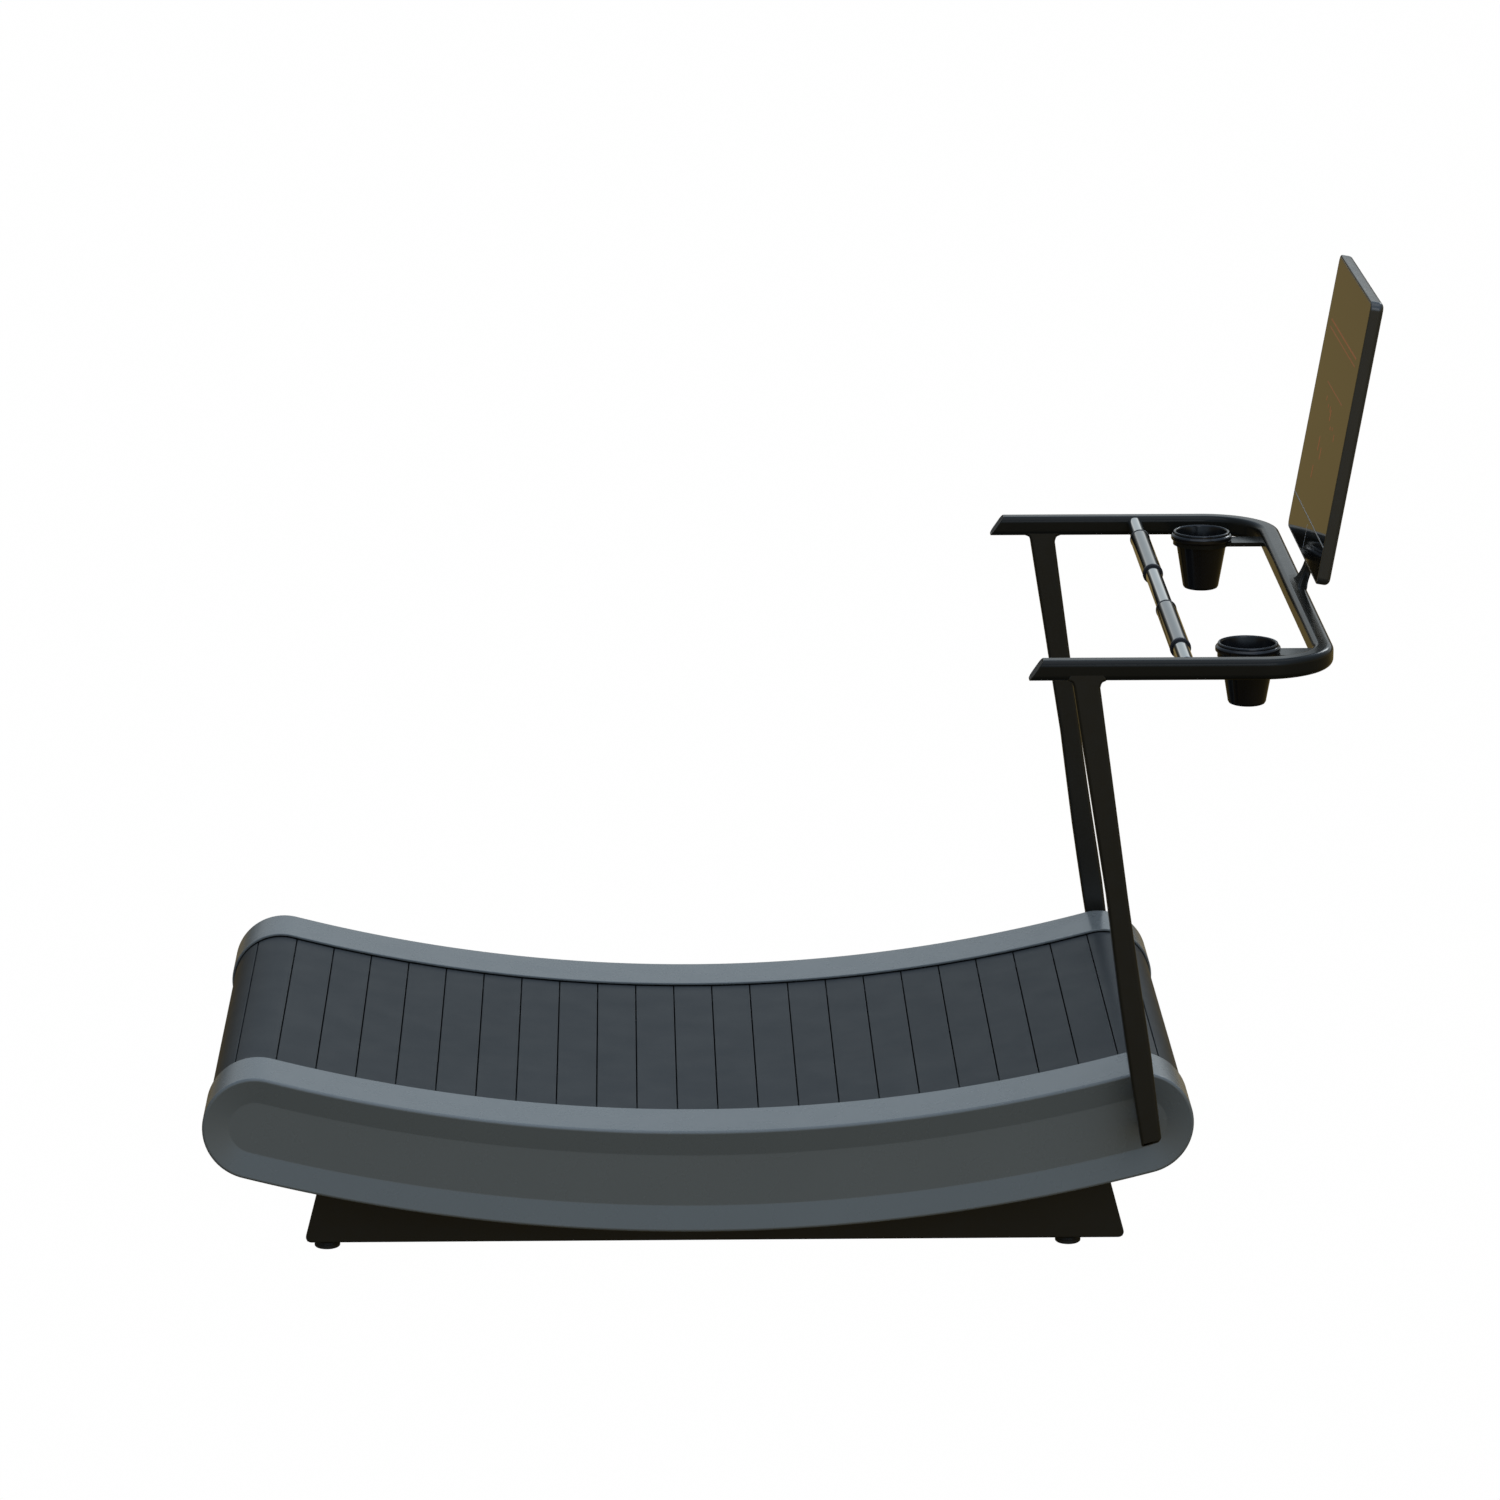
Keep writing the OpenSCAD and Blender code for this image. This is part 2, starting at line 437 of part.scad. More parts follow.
module battery_pack() { color([0.2, 0.25, 0.5]) on_screen() for (y = [-150, 110]) translate([9.5, y, 120]) cube([5, 40, 120]); }

// ---- speed sensor on the right side plate, magnet on the front pulley
module speed_sensor() { color([0.1, 0.1, 0.1]) home() { translate([end_x - 75, -plate_in, end_z + 8]) cube([18, 20, 14]); translate([end_x - 67, -plate_in + 20, end_z + 15]) rotate([-90, 0, 0]) cylinder(r = 4, h = 6, $fn = 32); } }
module sensor_magnet() { color([0.8, 0.8, 0.8]) home() translate([end_x - 48, -333, end_z + 32.5]) rotate([90, 0, 0]) cylinder(r = 5, h = 3, $fn = 32); }

base_side_left();
base_side_right();
base_crossmembers();
feet_pads();
feet_studs();
feet_lock_nuts();
side_plate_left();
side_plate_right();
frame_cross_tubes();
side_plate_bolts();
side_cover_left();
side_cover_right();
cover_posts();
bearing_housings();
front_bearings();
rear_bearings();
one_way_clutch();
front_shaft();
rear_shaft();
front_pulleys();
rear_pulleys();
carrier_belt_left();
carrier_belt_right();
support_rollers_left();
support_rollers_right();
roller_pins_left();
roller_pins_right();
slats_top_run();
slats_rear_wrap();
slats_bottom_run();
slats_front_wrap();
upright_left();
upright_right();
upright_mount_left();
upright_mount_right();
upright_bolts();
handrail();
handrail_end_plugs();
crossbar();
grip_left();
grip_right();
grip_end_rings();
cup_holder_left();
cup_holder_right();
cup_left();
cup_right();
screen_neck();
hinge_bracket();
hinge_pin();
screen_back_shell();
screen_glass();
lower_bezel();
accent_strip();
display_panel();
control_board();
battery_pack();
speed_sensor();
sensor_magnet();
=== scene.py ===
"""Looks for the curved manual treadmill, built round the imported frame. Sizes are written in millimetres of the
design's own X, Y, Z (X forward from the middle of the deck, Z up from the floor) and turned into row metres by P()."""

import math

import bmesh
import bpy
from mathutils import Matrix, Vector


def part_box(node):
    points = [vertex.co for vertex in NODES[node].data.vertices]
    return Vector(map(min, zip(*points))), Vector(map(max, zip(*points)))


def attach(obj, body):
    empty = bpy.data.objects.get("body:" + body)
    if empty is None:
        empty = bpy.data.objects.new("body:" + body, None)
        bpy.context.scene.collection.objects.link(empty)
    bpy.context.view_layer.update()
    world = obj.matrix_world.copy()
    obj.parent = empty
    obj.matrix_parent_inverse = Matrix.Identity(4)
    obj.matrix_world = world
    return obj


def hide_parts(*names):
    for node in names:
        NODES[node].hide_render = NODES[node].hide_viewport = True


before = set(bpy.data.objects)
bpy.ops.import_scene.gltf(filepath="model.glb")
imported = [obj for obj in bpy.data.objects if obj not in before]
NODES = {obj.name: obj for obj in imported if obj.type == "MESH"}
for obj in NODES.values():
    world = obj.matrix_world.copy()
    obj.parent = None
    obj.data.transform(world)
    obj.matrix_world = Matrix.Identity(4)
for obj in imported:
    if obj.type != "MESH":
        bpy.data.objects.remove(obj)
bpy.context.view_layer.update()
SCENE = bpy.context.scene
SCENE.view_settings.view_transform = "Standard"
SCENE.view_settings.look = "None"

# ------------------------------------------------------------------ the design's numbers, in millimetres
DECK_R, DECK_CZ, HALF = 2762.4, 2912.8, math.radians(14.96)
END_X, END_Z = DECK_R * math.sin(HALF), DECK_CZ - DECK_R * math.cos(HALF)
PITCH_H, SLATS, SLAT_W, SLAT_L, SLAT_T, LIFT = 76.8, 51, 64.2, 704.0, 8.6, -4.4
COVER_H, COVER_OUT, COVER_IN, WALL, BAND, DISH = 85.5, 476.0, 356.0, 4.0, 43.0, 10.0
BASE_OUT = 381.0
RAIL_OUT, RAIL_W, RAIL_H, RAIL_Z, RAIL_X, RAIL_R = 540.0, 34.0, 33.0, 995.0, 1011.5, 125.0
BAR_X, BAR_Z = 770.0, 1013.6
CUP_X, CUP_Y, CUP_Z = 876.5, 406.5, 1026.0
SCR_X, SCR_Z, TILT = 1004.0, 1075.0, math.radians(9.6)
lo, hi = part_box("crossbar")
OX = (lo.x + hi.x) / 2 - BAR_X / 1000


def P(x, y, z):
    return Vector((x / 1000 + OX, y / 1000, z / 1000))


def on_screen(w, y, u):
    """A point of the screen: w deep from the glass, u up the face."""
    return P(
        SCR_X + u * math.sin(TILT) + w * math.cos(TILT),
        y,
        SCR_Z + u * math.cos(TILT) - w * math.sin(TILT),
    )


def dx(a, o):
    return (DECK_R - o) * math.sin(a)


def dz(a, o):
    return DECK_CZ - (DECK_R - o) * math.cos(a)


# ------------------------------------------------------------------ mesh helpers
def piece(name, bm, mat, body="root", replaces=(), sharp=38, weld=True):
    if weld:
        bmesh.ops.remove_doubles(bm, verts=bm.verts, dist=2e-6)
    bmesh.ops.recalc_face_normals(bm, faces=bm.faces)
    me = bpy.data.meshes.new(name)
    bm.to_mesh(me)
    bm.free()
    for p in me.polygons:
        p.use_smooth = True
    me.set_sharp_from_angle(angle=math.radians(sharp))
    ob = bpy.data.objects.new(name, me)
    SCENE.collection.objects.link(ob)
    me.materials.append(mat)
    wn = ob.modifiers.new("weighted", "WEIGHTED_NORMAL")
    wn.keep_sharp = True
    wn.weight = 60
    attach(ob, body)
    if replaces:
        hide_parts(*([replaces] if isinstance(replaces, str) else replaces))
    return ob


def round_line(pts, radii, segs=4, closed=False):
    """A polyline with its corners turned into arcs."""
    out, n = [], len(pts)
    for i, (p, r) in enumerate(zip(pts, radii)):
        p = Vector(p)
        if r <= 0 or (not closed and i in (0, n - 1)):
            out.append(p)
            continue
        a, b = Vector(pts[i - 1]) - p, Vector(pts[(i + 1) % n]) - p
        la, lb = a.length, b.length
        a.normalize()
        b.normalize()
        ang = a.angle(b)
        if ang > math.pi - 1e-3:
            out.append(p)
            continue
        d = min(r / math.tan(ang / 2), la * 0.49, lb * 0.49)
        rr = d * math.tan(ang / 2)
        c = p + (a + b).normalized() * (rr / math.sin(ang / 2))
        s, e = p + a * d - c, p + b * d - c
        turn = s.angle_signed(e)
        for k in range(segs + 1):
            out.append(c + Matrix.Rotation(-turn * k / segs, 2) @ s)
    return out


def inset(poly, d):
    """A closed outline moved inward by d, whichever way round it runs."""
    n = len(poly)
    area = sum(
        poly[i - 1][0] * poly[i][1] - poly[i][0] * poly[i - 1][1] for i in range(n)
    )
    s = 1 if area > 0 else -1
    out = []
    for i in range(n):
        p0, p1, p2 = Vector(poly[i - 1]), Vector(poly[i]), Vector(poly[(i + 1) % n])
        e1, e2 = (p1 - p0).normalized(), (p2 - p1).normalized()
        n1, n2 = Vector((-e1.y, e1.x)), Vector((-e2.y, e2.x))
        out.append(p1 + (n1 + n2) * (s * d / max(0.3, 1 + n1.dot(n2))))
    return out


def loft(bm, rings, cap=True, loop=False):
    """Joins rings of points with the same count; cap closes both ends, loop joins the last ring to the first."""
    vs = [[bm.verts.new(p) for p in r] for r in rings]
    n, m = len(rings[0]), len(rings)
    for j in range(m if loop else m - 1):
        a, b = vs[j], vs[(j + 1) % m]
        for i in range(n):
            bm.faces.new((a[i], a[(i + 1) % n], b[(i + 1) % n], b[i]))
    if cap and not loop:
        bm.faces.new(list(reversed(vs[0])))
        bm.faces.new(vs[-1])
    return vs


def slab(bm, outline, place, w0, w1, r0=1.0, r1=1.0, segs=3):
    """An outline extruded from w0 to w1 with rounded edges; place(a, b, w) puts an outline point in the row frame."""
    sg = 1 if w1 > w0 else -1
    w0, w1, r0, r1 = sg * w0, sg * w1, abs(r0), abs(r1)
    rings = []
    for k in range(segs + 1):
        t = math.pi / 2 * k / segs
        rings.append((r0 * (1 - math.sin(t)), w0 + r0 * (1 - math.cos(t))))
    for k in range(segs, -1, -1):
        t = math.pi / 2 * k / segs
        rings.append((r1 * (1 - math.sin(t)), w1 - r1 * (1 - math.cos(t))))
    loft(bm, [[place(p[0], p[1], sg * w) for p in inset(outline, d)] for d, w in rings])


def lathe(bm, prof, place, segs=96, flute=None):
    """A profile of (radius, height) turned about an axis; place(a, b, h) puts the point. A radius of 0 closes it."""
    rings = []
    for r, h in prof:
        ring = []
        for i in range(segs):
            t = 2 * math.pi * i / segs
            q = r + (flute(r, h, t) if flute else 0)
            ring.append(place(q * math.cos(t), q * math.sin(t), h))
        rings.append(ring)
    closed = prof[0][0] > 0
    loft(bm, rings, cap=False, loop=closed)


def rounded(w, h, r, segs=6, x0=0.0, y0=0.0):
    return round_line(
        [(x0, y0), (x0 + w, y0), (x0 + w, y0 + h), (x0, y0 + h)], [r] * 4, segs, True
    )


# ------------------------------------------------------------------ materials
def material(
    name,
    color,
    rough,
    metal=0.0,
    tint=0.12,
    tint_scale=6.0,
    rvar=0.05,
    rscale=30.0,
    bump=0.02,
    bump_scale=900.0,
    stretch=(1, 1, 1),
    specular=0.5,
    coat=0.0,
    coat_rough=0.1,
    ior=1.5,
    aniso=0.0,
    waves=None,
    attr=None,
    emission=None,
):
    """A procedural surface: cloudy colour, uneven gloss and a fine grain, all from object coordinates."""
    m = bpy.data.materials.new(name)
    m.use_nodes = True
    nt = m.node_tree
    nt.nodes.clear()
    N, L = nt.nodes.new, nt.links.new
    out = N("ShaderNodeOutputMaterial")
    bsdf = N("ShaderNodeBsdfPrincipled")
    L(bsdf.outputs[0], out.inputs[0])
    co = N("ShaderNodeTexCoord")
    mp = N("ShaderNodeMapping")
    mp.inputs["Scale"].default_value = stretch
    L(co.outputs["Object"], mp.inputs["Vector"])
    cloud = N("ShaderNodeTexNoise")
    cloud.inputs["Scale"].default_value = tint_scale
    cloud.inputs["Detail"].default_value = 5
    cloud.inputs["Roughness"].default_value = 0.6
    L(co.outputs["Object"], cloud.inputs["Vector"])
    ramp = N("ShaderNodeValToRGB")
    ramp.color_ramp.elements[0].position = 0.30
    ramp.color_ramp.elements[1].position = 0.72
    ramp.color_ramp.elements[0].color = [c * (1 - tint) for c in color] + [1]
    ramp.color_ramp.elements[1].color = [min(1, c * (1 + tint)) for c in color] + [1]
    L(cloud.outputs["Fac"], ramp.inputs["Fac"])
    colour = ramp.outputs["Color"]
    if attr:
        at = N("ShaderNodeAttribute")
        at.attribute_name = attr
        hsv = N("ShaderNodeHueSaturation")
        L(at.outputs["Fac"], hsv.inputs["Value"])
        L(colour, hsv.inputs["Color"])
        colour = hsv.outputs["Color"]
    L(colour, bsdf.inputs["Base Color"])
    gloss = N("ShaderNodeTexNoise")
    gloss.inputs["Scale"].default_value = rscale
    gloss.inputs["Detail"].default_value = 4
    L(mp.outputs["Vector"], gloss.inputs["Vector"])
    mr = N("ShaderNodeMapRange")
    mr.inputs["From Min"].default_value = 0.3
    mr.inputs["From Max"].default_value = 0.7
    mr.inputs["To Min"].default_value = max(0.02, rough - rvar)
    mr.inputs["To Max"].default_value = min(1, rough + rvar)
    L(gloss.outputs["Fac"], mr.inputs["Value"])
    L(mr.outputs["Result"], bsdf.inputs["Roughness"])
    grain = N("ShaderNodeTexNoise")
    grain.inputs["Scale"].default_value = bump_scale
    grain.inputs["Detail"].default_value = 3
    L(mp.outputs["Vector"], grain.inputs["Vector"])
    height = grain.outputs["Fac"]
    if waves:
        wv = N("ShaderNodeTexWave")
        wv.wave_type = "BANDS"
        wv.bands_direction = waves[0]
        wv.inputs["Scale"].default_value = waves[1]
        wv.inputs["Distortion"].default_value = 0.0
        L(co.outputs["Object"], wv.inputs["Vector"])
        mix = N("ShaderNodeMix")
        mix.inputs["Factor"].default_value = waves[2]
        L(grain.outputs["Fac"], mix.inputs["A"])
        L(wv.outputs["Fac"], mix.inputs["B"])
        height = mix.outputs["Result"]
    bp = N("ShaderNodeBump")
    bp.inputs["Strength"].default_value = bump
    bp.inputs["Distance"].default_value = 0.001
    L(height, bp.inputs["Height"])
    L(bp.outputs["Normal"], bsdf.inputs["Normal"])
    bsdf.inputs["Metallic"].default_value = metal
    bsdf.inputs["Specular IOR Level"].default_value = specular
    bsdf.inputs["IOR"].default_value = ior
    bsdf.inputs["Coat Weight"].default_value = coat
    bsdf.inputs["Coat Roughness"].default_value = coat_rough
    bsdf.inputs["Anisotropic"].default_value = aniso
    if emission:
        bsdf.inputs["Emission Color"].default_value = list(emission[0]) + [1]
        bsdf.inputs["Emission Strength"].default_value = emission[1]
    m.diffuse_color = list(color) + [1]
    return m


COVER = material("cover_satin_grey", (0.190, 0.198, 0.190), 0.27, tint=0.03, tint_scale=3.0, rvar=0.02, rscale=18, bump=0.03, bump_scale=1500, specular=0.62)
SLAT = material("slat_moulded_rubber", (0.038, 0.041, 0.042), 0.40, tint=0.03, tint_scale=7.0, rvar=0.03, rscale=14, bump=0.04, bump_scale=1700, specular=0.09, attr="slat_tone")
SLAT_RIB = material("slat_rib_plastic", (0.03, 0.032, 0.034), 0.5, bump=0.05)
BLACK = material("frame_powder_black", (0.016, 0.0145, 0.011), 0.33, tint=0.10, tint_scale=5, rvar=0.03, rscale=60, bump=0.02, bump_scale=1100)
RAIL = material("rail_gloss_black", (0.015, 0.0145, 0.012), 0.17, tint=0.10, tint_scale=5, rvar=0.02, rscale=50, bump=0.006, bump_scale=900, specular=0.18)
CUPM = material("cup_gloss_plastic", (0.008, 0.008, 0.009), 0.17, tint=0.15, tint_scale=14, rvar=0.03, rscale=40, bump=0.004, bump_scale=700)
CHROME = material("crossbar_polished_steel", (0.50, 0.52, 0.53), 0.04, metal=1, tint=0.03, tint_scale=12, rvar=0.015, rscale=90, stretch=(1, 0.06, 1), bump=0.002, bump_scale=900)
GRIP = material("grip_satin_steel", (0.25, 0.26, 0.27), 0.06, metal=1, tint=0.04, tint_scale=18, rvar=0.02, rscale=120, stretch=(1, 0.05, 1), bump=0.004, bump_scale=1400)
RING = material("grip_end_ring", (0.018, 0.017, 0.022), 0.42, bump=0.05)
STEEL = material("machined_steel", (0.42, 0.43, 0.45), 0.30, metal=1, tint=0.08, tint_scale=25, rvar=0.08, rscale=150, bump=0.03, bump_scale=1200)
ALU = material("cast_aluminium", (0.52, 0.53, 0.54), 0.38, metal=1, tint=0.07, tint_scale=20, rvar=0.07, rscale=90, bump=0.06, bump_scale=700)
BELT = material("carrier_belt_rubber", (0.022, 0.022, 0.023), 0.62, tint=0.15, tint_scale=12, bump=0.12, bump_scale=800, waves=("Y", 180, 0.4))
PLASTIC = material("moulded_black_plastic", (0.024, 0.024, 0.025), 0.46, tint=0.10, tint_scale=15, bump=0.08, bump_scale=1500)
SHELL = material("screen_shell_grey", (0.038, 0.0375, 0.034), 0.22, tint=0.06, tint_scale=8, rvar=0.03, rscale=40, bump=0.03, bump_scale=1500, specular=0.75)
GLASS = material("screen_glass", (0.0075, 0.0070, 0.0060), 0.045, tint=0.10, tint_scale=3, rvar=0.012, rscale=12, bump=0.002, bump_scale=200, coat=0.0)
BEZEL = material("screen_lower_bezel", (0.0070, 0.0072, 0.0078), 0.055, tint=0.10, tint_scale=3, rvar=0.012, rscale=14, bump=0.003, bump_scale=300)
ACCENT = material("screen_accent_line", (0.55, 0.60, 0.65), 0.30, metal=0.0, tint=0.04, bump=0.02)
MARK = material("screen_marks_red", (0.16, 0.018, 0.014), 0.16, tint=0.10, tint_scale=30, bump=0.004, emission=((0.35, 0.035, 0.025), 0.20))
PALE_MARK = material("bezel_mark_pale", (0.62, 0.66, 0.70), 0.22, tint=0.05, bump=0.01)
BOARD = material("circuit_board", (0.012, 0.085, 0.035), 0.42, tint=0.35, tint_scale=180, rvar=0.10, rscale=400, bump=0.15, bump_scale=500)
CELL = material("battery_wrap", (0.04, 0.06, 0.19), 0.36, tint=0.10, tint_scale=30, bump=0.05)
PANEL = material("display_panel", (0.05, 0.055, 0.075), 0.34, tint=0.08, bump=0.03)
FOOT = material("foot_rubber", (0.020, 0.019, 0.018), 0.55, tint=0.15, tint_scale=30, bump=0.12, bump_scale=900)

# ------------------------------------------------------------------ side covers: rings round the whole racetrack outline
def stations():
    """(place(o) -> x, z; True along the lower curved run) once round the outline."""
    out, na, ne = [], 84, 56
    for i in range(na + 1):
        a = -HALF + 2 * HALF * i / na
        out.append((lambda o, a=a: (dx(a, o), dz(a, o)), False))
    for i in range(1, ne + 1):
        t = -HALF + math.pi * i / ne
        out.append((lambda o, t=t: (END_X + o * math.sin(t), END_Z + o * math.cos(t)), False))
    for i in range(na + 1):
        a = HALF - 2 * HALF * i / na
        out.append((lambda o, a=a: (dx(a, -o), dz(a, -o)), True))
    for i in range(ne):
        t = math.pi - HALF - math.pi * i / ne
        out.append((lambda o, t=t: (-END_X - o * math.sin(t), END_Z + o * math.cos(t)), False))
    return out


def cover_profile(y0):
    o, b = COVER_H, COVER_H - BAND
    outer = round_line([(0, COVER_OUT - DISH), (b / 2, COVER_OUT - DISH), (b, COVER_OUT - DISH), (o, COVER_OUT), (o, COVER_OUT - 30), (o, y0), (o - WALL, y0), (o - WALL, COVER_OUT - 30), (o - WALL, COVER_OUT - 5.2), (b - 1, COVER_OUT - DISH - WALL), (b / 2, COVER_OUT - DISH - WALL), (0, COVER_OUT - DISH - WALL)],
                       [0, 0, 9.0, 4.2, 0, 1.3, 1.3, 0, 0, 0, 0, 0], 5)
    return outer


def cover(name, side, node):
    bm = bmesh.new()
    rings = []
    for place, low in stations():
        prof = cover_profile(BASE_OUT + 3 if low else COVER_IN)
        rings.append([P(place(p[0])[0], side * p[1], place(p[0])[1]) for p in prof])
    vs = [[bm.verts.new(p) for p in r] for r in rings]
    n = len(rings[0])
    for j in range(len(vs)):
        a, b = vs[j], vs[(j + 1) % len(vs)]
        for i in range(n - 1):
            bm.faces.new((a[i], a[i + 1], b[i + 1], b[i]))
    bmesh.ops.remove_doubles(bm, verts=bm.verts, dist=2e-6)
    return piece(name, bm, COVER, "root", node, sharp=50)


cover("side_cover_shell_right", -1, "side_cover_right")
cover("side_cover_shell_left", 1, "side_cover_left")

# ------------------------------------------------------------------ slats
RUN_TOP = 2 * HALF * (DECK_R - PITCH_H)
RUN_LOW = 2 * HALF * (DECK_R + PITCH_H)
WRAP = math.pi * PITCH_H
STEP = (RUN_TOP + RUN_LOW + 2 * WRAP) / SLATS


def slat_pose(i):
    s = abs(i) * STEP
    if s <= RUN_TOP / 2:
        a = s / (DECK_R - PITCH_H)
        q = (dx(a, PITCH_H), dz(a, PITCH_H), -a)
    elif s <= RUN_TOP / 2 + WRAP:
        t = (s - RUN_TOP / 2) / PITCH_H - HALF
        q = (END_X + PITCH_H * math.sin(t), END_Z + PITCH_H * math.cos(t), t)
    else:
        a = HALF - (s - RUN_TOP / 2 - WRAP) / (DECK_R + PITCH_H)
        q = (dx(a, -PITCH_H), dz(a, -PITCH_H), math.pi - a)
    return (-q[0], q[1], -q[2]) if i < 0 else q


def local(q):
    c, s = math.cos(q[2]), math.sin(q[2])
    return lambda u, w, y: P(q[0] + u * c + w * s, y, q[1] - u * s + w * c)


def slat_outline():
    h, z0, z1 = SLAT_W / 2, LIFT, LIFT + SLAT_T
    return round_line([(-h, z0), (h, z0), (h, z1), (-h, z1)], [0.8, 0.8, 1.0, 1.0], 3, True)


def bent_outline(q, sx):
    """The outline of a slat bent round a drum, in design X, Z."""
    r0, r1 = PITCH_H + LIFT + 3.8, PITCH_H + LIFT + SLAT_T
    h = (STEP / PITCH_H - 2.2 / r1) / 2
    t0 = q[2] if sx > 0 else -q[2]
    e = 1.0 / r1
    pts = []
    for k in range(4):
        f = math.pi / 2 * k / 3
        pts.append((r1 - 1.0 + 1.0 * math.sin(f), -h + e - e * math.cos(f)))
    for k in range(1, 10):
        pts.append((r1, -h + e + (2 * h - 2 * e) * k / 10))
    for k in range(4):
        f = math.pi / 2 * k / 3
        pts.append((r1 - 1.0 + 1.0 * math.cos(f), h - e + e * math.sin(f)))
    for k in range(11):
        pts.append((r0, h - 2 * h * k / 10))
    return [(sx * (END_X + r * math.sin(t0 + t)), END_Z + r * math.cos(t0 + t)) for r, t in pts]


def tone(i):
    return 1.0 + 0.045 * math.sin(i * 12.9898 + 1.3) + 0.02 * math.sin(i * 4.1)


def slat_group(name, body, node, indices):
    bm = bmesh.new()
    lay = bm.verts.layers.float.new("slat_tone")
    for i in indices:
        q = slat_pose(i)
        before = len(bm.verts)
        if 11 <= abs(i) <= 14:
            slab(bm, bent_outline(q, -1 if i < 0 else 1), lambda x, z, y: P(x, y, z), -SLAT_L / 2, SLAT_L / 2, 1.0, 1.0, 3)
        else:
            slab(bm, slat_outline(), local(q), -SLAT_L / 2, SLAT_L / 2, 1.2, 1.2, 3)
        root = LIFT + (4.2 if 11 <= abs(i) <= 14 else 0.3)
        rib = round_line([(-12, root), (-4.5, LIFT - 11), (4.5, LIFT - 11), (12, root)], [0, 2, 2, 0], 3, True)
        slab(bm, rib, local(q), -272, 272, 1.0, 1.0, 2)
        bm.verts.ensure_lookup_table()
        for v in bm.verts[before:]:
            v[lay] = tone(i)
    return piece(name, bm, SLAT, body, node, sharp=45, weld=False)


slat_group("running_slats_top", "belt_top_run", "slats_top_run", range(-10, 11))
slat_group("running_slats_rear", "rear_drum", "slats_rear_wrap", range(-14, -10))
slat_group("running_slats_front", "front_drum", "slats_front_wrap", range(11, 15))
slat_group("running_slats_bottom", "belt_bottom_run", "slats_bottom_run", [*range(-25, -14), *range(15, 26)])

# ------------------------------------------------------------------ base skirts and feet
def base_skirt(name, side, node):
    bm = bmesh.new()
    z0, rear, front = 19.0, -642.6, 698.6

    def top(x):
        return DECK_CZ - math.sqrt((DECK_R + 12) ** 2 - x * x)

    def meet(x0, k):
        x = x0
        for _ in range(30):
            x = x0 + k * (top(x) - z0)
        return x

    xr, xf = meet(rear, 0.255), meet(front, -0.268)
    pts, rad = [(rear, z0), (front, z0)], [9, 9]
    for k in range(61):
        x = xf + (xr - xf) * k / 60
        pts.append((x, top(x)))
        rad.append(0)
    slab(bm, round_line(pts, rad, 6, True), lambda x, z, y: P(x, y, z), side * 373, side * BASE_OUT, 0.8 * side, 2.2 * side, 4)
    lip = round_line([(rear + 4, z0), (front - 4, z0), (front - 4, z0 + 5), (rear + 4, z0 + 5)], [2, 2, 1, 1], 3, True)
    slab(bm, lip, lambda x, z, y: P(x, y, z), side * 307, side * 374.5, 1.2 * side, 0.5 * side, 2)
    return piece(name, bm, BLACK, "root", node)


base_skirt("base_skirt_right", -1, "base_side_right")
base_skirt("base_skirt_left", 1, "base_side_left")

bm = bmesh.new()
foot_prof = round_line([(0, 0), (19.4, 0), (21, 1.6), (21, 6.4), (20.0, 6.9), (20.0, 7.6), (20.6, 8.2), (19.2, 11.5), (9, 11.5), (0, 11.5)], [0, 1, 1, 0.3, 0.2, 0.2, 0.4, 1.6, 0, 0], 3)
for sx in (-1, 1):
    for sy in (-1, 1):
        lathe(bm, [(p[0], p[1]) for p in foot_prof], lambda a, b, h, sx=sx, sy=sy: P(sx * 607 + a, sy * 339 + b, h), 64)
piece("levelling_feet", bm, FOOT, "root", "feet_pads")

# ------------------------------------------------------------------ uprights
def upright(name, side, node):
    bm = bmesh.new()
    rear = [(589.7, 985.8), (600.2, 922), (617.3, 820), (634.0, 718), (647, 639.7), (658.6, 553), (669.3, 474), (680.2, 402), (689.8, 340.6), (699.6, 283), (708.5, 230)]
    front = [(740.6, 240), (735.0, 281), (722.9, 373.8), (714.6, 426), (706.8, 474), (694.4, 552), (681.2, 639.6), (670.2, 717), (655.7, 819), (641.4, 919), (632.2, 984.2)]
    pts = [(580.6, 1010), (580.6, 995.2), (587.2, 993.0)] + rear + [(709.2, 226), (713, 225.9), (736.4, 232.8)] + front + [(634.6, 992.6), (641.2, 995.2), (641.2, 1010)]
    rad = [0, 0, 6] + [6] + [0] * (len(rear) - 1) + [2.0, 3.5, 4.5] + [0] * (len(front) - 1) + [6] + [6, 0, 0]
    rad[len(rad) - 3] = 6
    outline = round_line(pts, rad, 5, True)
    slab(bm, outline, lambda x, z, y: P(x, y, z), side * 508, side * 540, 5.0, 5.0, 6)
    return piece(name, bm, BLACK, "root", node, sharp=55)


upright("upright_column_right", -1, "upright_right")
upright("upright_column_left", 1, "upright_left")

